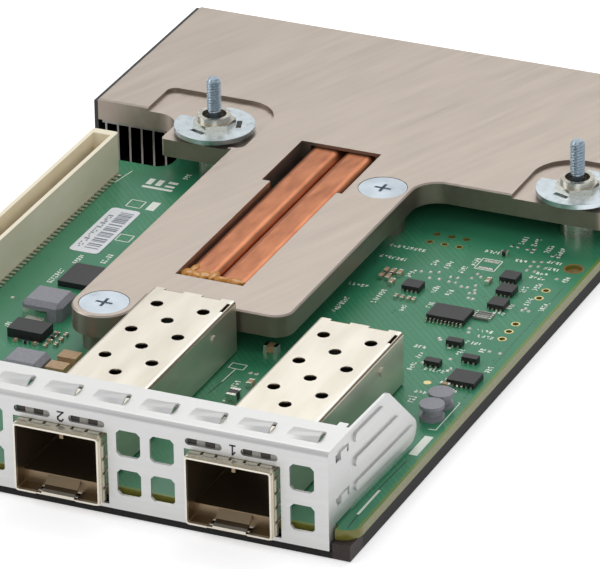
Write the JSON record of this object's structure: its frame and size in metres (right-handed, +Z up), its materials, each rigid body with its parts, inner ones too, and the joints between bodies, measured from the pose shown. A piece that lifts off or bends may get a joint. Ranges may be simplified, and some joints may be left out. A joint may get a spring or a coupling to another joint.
{
  "type": "network interface card",
  "caption": "Server network card with a folded bezel, pluggable-module cages, a heat-pipe cooling plate over its rear and captive fixing screws.",
  "frame": {"origin": "centre of the footprint, on the surface the card lies on", "axes": "+X to the right seen from the bezel, +Y from the bezel to the cooler's rear, +Z up from the board's component side"},
  "size_m": [0.0964, 0.1552, 0.0206],
  "materials": {
    "solder_mask": "glossy green solder mask over glass laminate",
    "black_film": "matt black insulating plastic",
    "bezel_sheet": "bright zinc-plated sheet, satin",
    "cage_sheet": "nickel-silver sheet, bright",
    "spring_strip": "plated spring strip",
    "socket_plastic": "black moulded plastic",
    "plated_plate": "nickel-plated copper, satin with fine machining lines",
    "pipe_copper": "bare copper",
    "fin_aluminium": "blackened aluminium fins",
    "cover_black": "black coated strip",
    "zinc_screw": "blue zinc plating",
    "sleeve_nickel": "nickel-plated turned brass",
    "zinc_clip": "blue zinc plating",
    "connector_ivory": "ivory moulded plastic",
    "contact_tin": "tinned contacts",
    "chip_black": "black moulded package",
    "pad_grey": "soft grey gap filler",
    "inductor_grey": "pressed grey powder",
    "ceramic_tan": "tan ceramic"
  },
  "bodies": {
    "card": {"circuit_board": "solder_mask", "base_tray": "black_film", "front_bezel": "bezel_sheet", "port_cage_1": "cage_sheet", "port_cage_2": "cage_sheet", "spring_collar_1": "spring_strip", "spring_collar_2": "spring_strip", "host_connector_1": "socket_plastic", "host_connector_2": "socket_plastic", "heat_plate": "plated_plate", "plate_screws": "zinc_screw", "heat_pipe_left": "pipe_copper", "heat_pipe_right": "pipe_copper", "fin_stack": "fin_aluminium", "fin_side_cover": "cover_black", "captive_sleeves": "sleeve_nickel", "retaining_clips": "zinc_clip", "mezzanine_connector": "connector_ivory", "connector_contacts": "contact_tin", "controller_chip": "chip_black", "thermal_pad": "pad_grey", "power_inductors": "inductor_grey", "power_stages": "chip_black", "ceramic_capacitors": "ceramic_tan", "small_chips": "chip_black", "logic_chip": "chip_black", "logic_leads": "contact_tin", "round_inductors": "inductor_grey"},
    "screw_left": {"captive_screw_left": "zinc_screw"},
    "screw_right": {"captive_screw_right": "zinc_screw"}
  },
  "joints": [
    {"name": "captive_screw_left_turn", "type": "hinge", "parent": "card", "child": "screw_left", "pos_m": [-0.0243, 0.0332, 0.0042], "axis": [0, 0, 1], "continuous": true},
    {"name": "captive_screw_right_turn", "type": "hinge", "parent": "card", "child": "screw_right", "pos_m": [0.0407, 0.0332, 0.0042], "axis": [0, 0, 1], "continuous": true}
  ]
}
